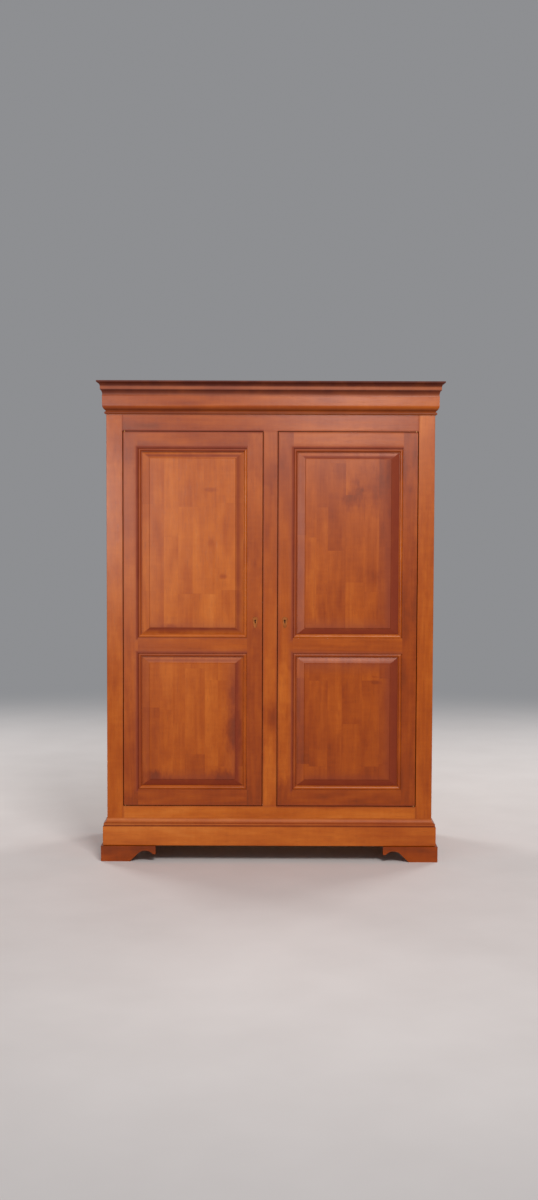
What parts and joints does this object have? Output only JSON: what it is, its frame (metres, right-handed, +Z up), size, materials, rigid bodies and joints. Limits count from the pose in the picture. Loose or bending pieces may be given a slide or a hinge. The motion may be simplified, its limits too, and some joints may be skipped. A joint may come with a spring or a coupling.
{
  "type": "armoire",
  "caption": "Tall cherry armoire with panelled doors that swing on hidden pivots, a moulded cornice, a plinth on bracket feet, shelves on one side and hanging space on the other.",
  "frame": {"origin": "on the floor under the middle of the cornice's outline", "axes": "+X to the right seen from the front, -Y to the front where the doors are, +Z up"},
  "size_m": [1.508, 0.62, 2.1],
  "materials": {
    "frame_cherry": "stained cherry, satin lacquer",
    "panel_cherry": "stained cherry in glued strips, satin lacquer",
    "inner_timber": "plain planed timber, thin matt varnish",
    "inner_board": "veneered board, thin matt varnish",
    "keyhole_brass": "aged satin brass",
    "pivot_brass": "plain drawn brass",
    "lock_steel": "plain steel",
    "rail_brass": "polished tube"
  },
  "bodies": {
    "carcass": {"back_bottom_rail": "inner_timber", "back_muntin": "inner_timber", "back_panels": "inner_board", "back_top_rail": "inner_timber", "centre_post": "frame_cherry", "cornice_back_rail": "inner_timber", "cornice_front": "frame_cherry", "cornice_left": "frame_cherry", "cornice_right": "frame_cherry", "floor_panel": "inner_board", "foot_blocks": "inner_timber", "foot_front_left": "frame_cherry", "foot_front_right": "frame_cherry", "front_bottom_rail": "frame_cherry", "front_post_left": "frame_cherry", "front_post_right": "frame_cherry", "front_top_rail": "frame_cherry", "hanging_rail": "rail_brass", "left_side_bottom_rail": "frame_cherry", "left_side_middle_rail": "frame_cherry", "left_side_panels": "panel_cherry", "left_side_top_rail": "frame_cherry", "partition": "inner_board", "pivot_sockets": "pivot_brass", "plinth_front": "frame_cherry", "plinth_left": "frame_cherry", "plinth_right": "frame_cherry", "rail_sockets": "rail_brass", "rear_feet": "frame_cherry", "rear_post_left": "frame_cherry", "rear_post_right": "frame_cherry", "right_side_bottom_rail": "frame_cherry", "right_side_middle_rail": "frame_cherry", "right_side_panels": "panel_cherry", "right_side_top_rail": "frame_cherry", "shelf_cleats": "inner_timber", "shelves": "inner_board", "top_panel": "inner_board"},
    "left_door": {"left_door_bottom_rail": "frame_cherry", "left_door_hinge_stile": "frame_cherry", "left_door_lock_stile": "frame_cherry", "left_door_lower_panel": "panel_cherry", "left_door_middle_rail": "frame_cherry", "left_door_pivots": "pivot_brass", "left_door_top_rail": "frame_cherry", "left_door_upper_panel": "panel_cherry", "left_escutcheon": "keyhole_brass", "left_lock_case": "lock_steel"},
    "right_door": {"right_door_bottom_rail": "frame_cherry", "right_door_hinge_stile": "frame_cherry", "right_door_lock_stile": "frame_cherry", "right_door_lower_panel": "panel_cherry", "right_door_middle_rail": "frame_cherry", "right_door_pivots": "pivot_brass", "right_door_top_rail": "frame_cherry", "right_door_upper_panel": "panel_cherry", "right_escutcheon": "keyhole_brass", "right_lock_case": "lock_steel"},
    "left_bolt": {"left_lock_bolt": "pivot_brass"},
    "right_bolt": {"right_lock_bolt": "pivot_brass"}
  },
  "joints": [
    {"name": "left_door_swing", "type": "hinge", "parent": "carcass", "child": "left_door", "pos_m": [-0.6345, -0.264, 1.06375], "axis": [0, 0, -1], "range_deg": [0, 110]},
    {"name": "left_bolt_slide", "type": "slide", "parent": "left_door", "child": "left_bolt", "axis": [1, 0, 0], "range_m": [0, 0.012]},
    {"name": "right_door_swing", "type": "hinge", "parent": "carcass", "child": "right_door", "pos_m": [0.6345, -0.264, 1.06375], "axis": [0, 0, 1], "range_deg": [0, 110]},
    {"name": "right_bolt_slide", "type": "slide", "parent": "right_door", "child": "right_bolt", "axis": [-1, 0, 0], "range_m": [0, 0.012]}
  ]
}
